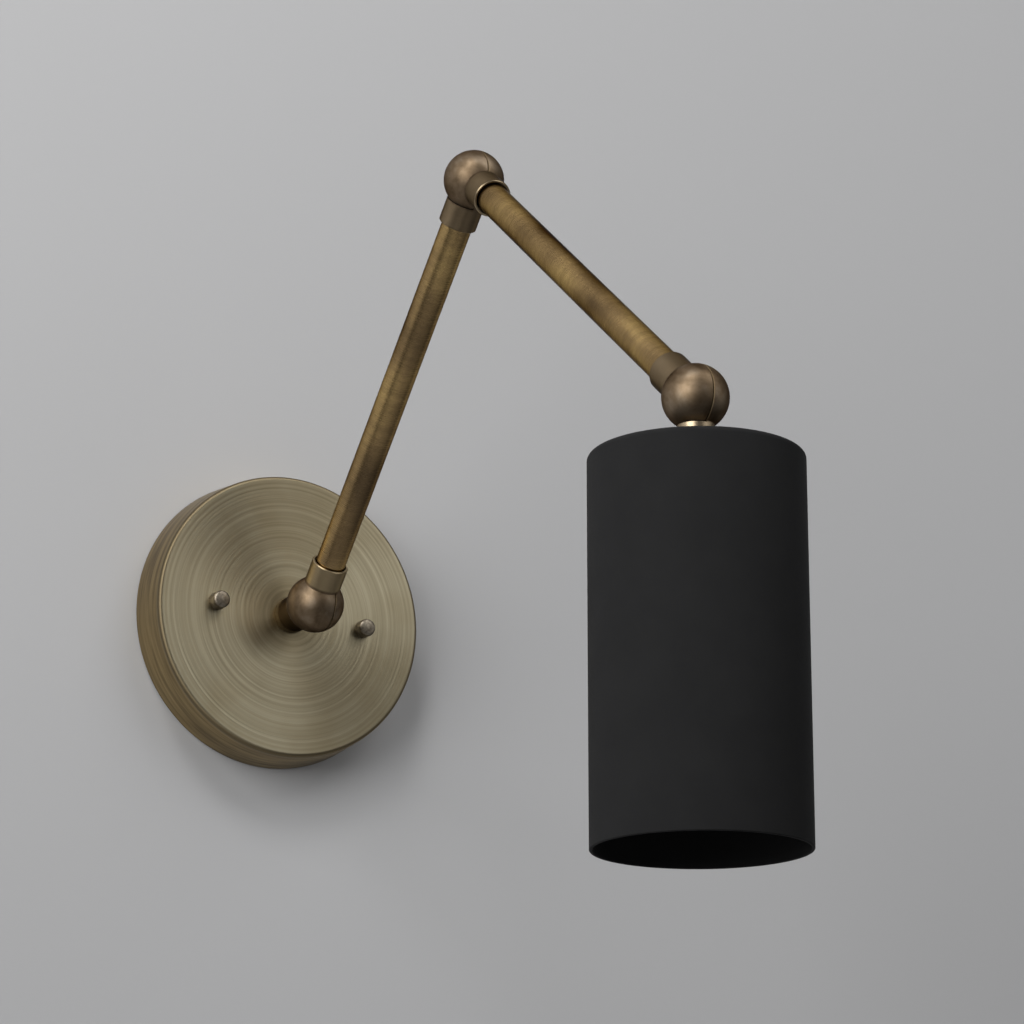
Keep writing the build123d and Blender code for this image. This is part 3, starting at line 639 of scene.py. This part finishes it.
head_place = place_at(head_centre, down)
shade_end = SHADE_TOP + SHADE_LENGTH
shade_bore = SHADE_RADIUS - SHADE_WALL
shade_outline = [(SHADE_HOLE_RADIUS, SHADE_TOP)]
shade_outline += arc(
    (SHADE_RADIUS - SHADE_TOP_RADIUS, SHADE_TOP + SHADE_TOP_RADIUS),
    SHADE_TOP_RADIUS, -90, 0, 10,
)
shade_outline += arc(
    (SHADE_RADIUS - SHADE_RIM_RADIUS, shade_end - SHADE_RIM_RADIUS),
    SHADE_RIM_RADIUS, 0, 90, 5,
)
shade_outline += arc(
    (shade_bore + SHADE_RIM_RADIUS, shade_end - SHADE_RIM_RADIUS),
    SHADE_RIM_RADIUS, 90, 180, 5,
)
shade_outline += arc(
    (shade_bore - SHADE_INNER_RADIUS, SHADE_TOP + SHADE_WALL + SHADE_INNER_RADIUS),
    SHADE_INNER_RADIUS, 0, -90, 6,
)
shade_outline.append((SHADE_HOLE_RADIUS, SHADE_TOP + SHADE_WALL))
finish_mesh(
    "shade_cylinder", *lathe(shade_outline, SHADE_SEGMENTS), head_place,
    black_coat, "lamp_head", "shade_black", ["shade"],
)

finish_mesh(
    "shade_nipple_threaded",
    *threaded(PIPE_RADIUS, PIPE_BORE_RADIUS, PIPE_THREAD_PITCH, *SHADE_NIPPLE_SPAN, PIPE_SEGMENTS),
    head_place, fixture_brass, "lamp_head", "socket_brass", ["shade_nipple"],
)


def socket_shell_outline():
    """The shell with a rounded bead near its open end and a rolled rim."""
    start, end = SOCKET_SHELL_SPAN
    inner = SOCKET_SHELL_RADIUS - SOCKET_SHELL_WALL
    rim = SOCKET_SHELL_WALL / 2
    points = [(inner, start), (SOCKET_SHELL_RADIUS, start)]
    for step in range(SOCKET_BEAD_STEPS + 1):
        share = step / SOCKET_BEAD_STEPS
        swell = SOCKET_BEAD * math.sin(math.pi * share) ** 2
        reach = end - SOCKET_BEAD_FROM_END + SOCKET_BEAD_WIDTH * share
        points.append((SOCKET_SHELL_RADIUS + swell, reach))
    points += arc((SOCKET_SHELL_RADIUS - rim, end - rim), rim, 0, 180, 6)
    return points


finish_mesh(
    "socket_shell_beaded", *lathe(socket_shell_outline(), SOCKET_SEGMENTS), head_place,
    fixture_brass, "lamp_head", "socket_brass", ["socket_shell"],
)


def screw_shell_mesh(segments):
    """Thin shell rolled into the round thread that takes the bulb, with an inturned floor."""
    start, end = SCREW_SHELL_SPAN
    steps = round((end - start) / SCREW_SHELL_PITCH * SCREW_SHELL_STEPS_PER_TURN)
    outer, inner = [], []
    for row in range(steps + 1):
        reach = start + (end - start) * row / steps
        fade = min(1.0, (reach - start) / SCREW_SHELL_FADE_START, (end - reach) / SCREW_SHELL_FADE_END)
        outer_row, inner_row = [], []
        for step in range(segments):
            angle = 2 * math.pi * step / segments
            wave = 0.5 - 0.5 * math.cos(2 * math.pi * (reach / SCREW_SHELL_PITCH - step / segments))
            radius = SCREW_SHELL_BORE + SCREW_SHELL_THREAD * wave * max(0.0, fade)
            direction = (math.cos(angle), math.sin(angle))
            inner_reach = max(reach, start + SCREW_SHELL_WALL)
            inner_row.append((radius * direction[0], radius * direction[1], inner_reach))
            thick = radius + SCREW_SHELL_WALL
            outer_row.append((thick * direction[0], thick * direction[1], reach))
        outer += outer_row
        inner.insert(0, inner_row)
    vertices = outer + [point for row in inner for point in row]
    rows = 2 * (steps + 1)
    for reach in (start + SCREW_SHELL_WALL, start):
        for step in range(segments):
            angle = 2 * math.pi * step / segments
            vertices.append((
                SCREW_SHELL_WINDOW * math.cos(angle), SCREW_SHELL_WINDOW * math.sin(angle), reach,
            ))
    return vertices, grid_faces(rows + 2, segments, True)


finish_mesh(
    "screw_shell_rolled", *screw_shell_mesh(SCREW_SHELL_SEGMENTS), head_place,
    thin_brass, "lamp_head", "contact_brass", ["screw_shell"],
)

# ---- materials of the nodes that stay as packed -------------------------------------------------

node_materials = {
    "box_bar": zinc, "stud_bar": zinc, "stud_lock_nuts": zinc,
    "base_lock_washer": zinc, "base_lock_nut": zinc,
    "shade_lock_nut": zinc, "lower_arm_pipe": zinc, "upper_arm_pipe": zinc,
    "bar_eyelet": fixture_brass, "socket_cap": fixture_brass,
    "ground_screw": green_metal,
    "base_seat_ring": seat_brass, "shade_seat_washer": seat_brass,
    "base_leads": insulation, "lower_arm_leads": insulation,
    "upper_arm_leads": insulation, "head_leads": insulation,
    "socket_insulator": porcelain, "socket_liner": fibre,
    "socket_set_screw": zinc, "terminal_screws": thin_brass, "centre_contact": thin_brass,
}
# the collar tones of the base, neck and wall halves carry painted light and painted shade
for node, centre, collar_way, rim_reach, seam_x, collar_tones in (
    ("base_ball_screw_half", base_centre, -out_of_wall, ARM_COLLAR_REACH, BASE_SEAM_X, WALL_COLLAR_SHADED_TONES),
    ("base_ball_thread_half", base_centre, lower_arm, ARM_COLLAR_REACH, BASE_SEAM_X, BASE_COLLAR_LIT_TONES),
    ("elbow_ball_screw_half", elbow_centre, -lower_arm, ARM_COLLAR_REACH, ARM_SEAM_X, COLLAR_TONES),
    ("elbow_ball_thread_half", elbow_centre, upper_arm, ARM_COLLAR_REACH, ARM_SEAM_X, COLLAR_TONES),
    ("head_ball_screw_half", head_centre, down, ARM_COLLAR_REACH, ARM_SEAM_X, NECK_LIT_TONES),
    ("head_ball_thread_half", head_centre, -upper_arm, HEAD_ARM_COLLAR_REACH, ARM_SEAM_X, COLLAR_TONES),
):
    material_name = node.replace("ball_", "") + "_brass"
    node_materials[node] = ball_brass(
        material_name, place_at(centre, collar_way), rim_reach, seam_x, collar_tones,
    )
for ball in ("base", "elbow", "head"):
    node_materials[f"{ball}_pivot_screw"] = bronze
    node_materials[f"{ball}_spring_washer"] = zinc
    node_materials[f"{ball}_friction_washer"] = fibre
for name, material in node_materials.items():
    for material_slot in frame["nodes"][name].material_slots:
        material_slot.material = material

# ---- wall, floor and light ----------------------------------------------------------------------

STAGE_TONE = (0.55, 0.55, 0.555)
WALL_HALF = 2.6
WALL_TOP = 2.2
FLOOR_DROP = -1.8
FLOOR_FRONT = -3.2
WALL_GAP = 0.0006
WALL_HOLE = 0.0615
WALL_STEPS = 96
WORLD_TONE = (0.07, 0.071, 0.073)


def stage_material():
    """Plain pale paint, clear from its back so that the lamp can be seen from behind and below."""
    material = bpy.data.materials.new("stage_paint")
    material.use_nodes = True
    tree = material.node_tree
    tree.nodes.clear()
    output = tree.nodes.new("ShaderNodeOutputMaterial")
    mix = tree.nodes.new("ShaderNodeMixShader")
    paint = tree.nodes.new("ShaderNodeBsdfDiffuse")
    clear = tree.nodes.new("ShaderNodeBsdfTransparent")
    facing = tree.nodes.new("ShaderNodeNewGeometry")
    paint.inputs["Color"].default_value = (*STAGE_TONE, 1)
    tree.links.new(facing.outputs["Backfacing"], mix.inputs["Fac"])
    tree.links.new(paint.outputs[0], mix.inputs[1])
    tree.links.new(clear.outputs[0], mix.inputs[2])
    tree.links.new(mix.outputs[0], output.inputs["Surface"])
    return material


def stage_mesh(name, vertices, faces, facing):
    """A flat stage surface whose normals face the given way."""
    mesh = bpy.data.meshes.new(name)
    mesh.from_pydata(vertices, [], faces)
    mesh.materials.append(paint_material)
    if mesh.polygons[0].normal.dot(facing) < 0:
        mesh.flip_normals()
    surface = bpy.data.objects.new(name, mesh)
    bpy.context.scene.collection.objects.link(surface)


paint_material = stage_material()
wall_vertices = []
for step in range(WALL_STEPS):
    angle = 2 * math.pi * (step + 0.5) / WALL_STEPS
    wall_vertices.append((WALL_HOLE * math.cos(angle), WALL_GAP, WALL_HOLE * math.sin(angle)))
for step in range(WALL_STEPS):
    angle = 2 * math.pi * (step + 0.5) / WALL_STEPS
    stretch = 1 / max(abs(math.cos(angle)), abs(math.sin(angle)))
    height = math.sin(angle) * stretch
    reach_up = WALL_TOP if height > 0 else -FLOOR_DROP
    wall_vertices.append((WALL_HALF * math.cos(angle) * stretch, WALL_GAP, reach_up * height))
wall_faces = [
    (step, (step + 1) % WALL_STEPS, WALL_STEPS + (step + 1) % WALL_STEPS, WALL_STEPS + step)
    for step in range(WALL_STEPS)
]
stage_mesh("stage_wall", wall_vertices, wall_faces, Vector((0, -1, 0)))
floor_corners = [
    (-WALL_HALF, WALL_GAP, FLOOR_DROP), (WALL_HALF, WALL_GAP, FLOOR_DROP),
    (WALL_HALF, FLOOR_FRONT, FLOOR_DROP), (-WALL_HALF, FLOOR_FRONT, FLOOR_DROP),
]
stage_mesh("stage_floor", floor_corners, [(0, 1, 2, 3)], Vector((0, 0, 1)))

world = bpy.data.worlds.new("studio")
world.use_nodes = True
world.node_tree.nodes["Background"].inputs["Color"].default_value = (*WORLD_TONE, 1)
world.node_tree.nodes["Background"].inputs["Strength"].default_value = 1.0
bpy.context.scene.world = world


def soft_light(name, position, size, power, aim):
    """A square soft light that faces its aim."""
    data = bpy.data.lights.new(name, "AREA")
    data.shape = "SQUARE"
    data.size = size
    data.energy = power
    light = bpy.data.objects.new(name, data)
    light.location = position
    light.rotation_mode = "QUATERNION"
    light.rotation_quaternion = (Vector(aim) - Vector(position)).to_track_quat("-Z", "Y")
    light.visible_camera = False
    bpy.context.scene.collection.objects.link(light)


LAMP_MIDDLE = (0, -0.2, 0)
WALL_ABOVE = (-0.35, 0, 0.70)
soft_light("key_light", (-1.75, -1.10, 0.50), 1.6, 34, LAMP_MIDDLE)
soft_light("top_light", (0.60, -1.15, 1.45), 1.2, 10, LAMP_MIDDLE)
soft_light("front_light", (0.92, -1.93, 0.52), 0.9, 2.2, LAMP_MIDDLE)
soft_light("right_light", (1.60, -1.30, 0.20), 0.9, 1.4, LAMP_MIDDLE)
soft_light("wall_light", (-0.60, -0.80, 1.15), 0.4, 6.5, WALL_ABOVE)

# ---- camera -------------------------------------------------------------------------------------

CAMERA_AT = (-0.650, -1.3613, -0.3646)
CAMERA_YAW = 29.54
CAMERA_PITCH = 15.45
CAMERA_LENS = 124.61

camera_data = bpy.data.cameras.new("camera")
camera_data.lens = CAMERA_LENS
camera_data.sensor_width = 36.0
camera = bpy.data.objects.new("camera", camera_data)
bpy.context.scene.collection.objects.link(camera)
yaw, pitch = math.radians(CAMERA_YAW), math.radians(CAMERA_PITCH)
forward = Vector((math.sin(yaw) * math.cos(pitch), math.cos(yaw) * math.cos(pitch), math.sin(pitch)))
camera.location = CAMERA_AT
camera.rotation_mode = "QUATERNION"
camera.rotation_quaternion = forward.to_track_quat("-Z", "Y")
bpy.context.scene.camera = camera
bpy.context.scene.view_settings.view_transform = "Standard"
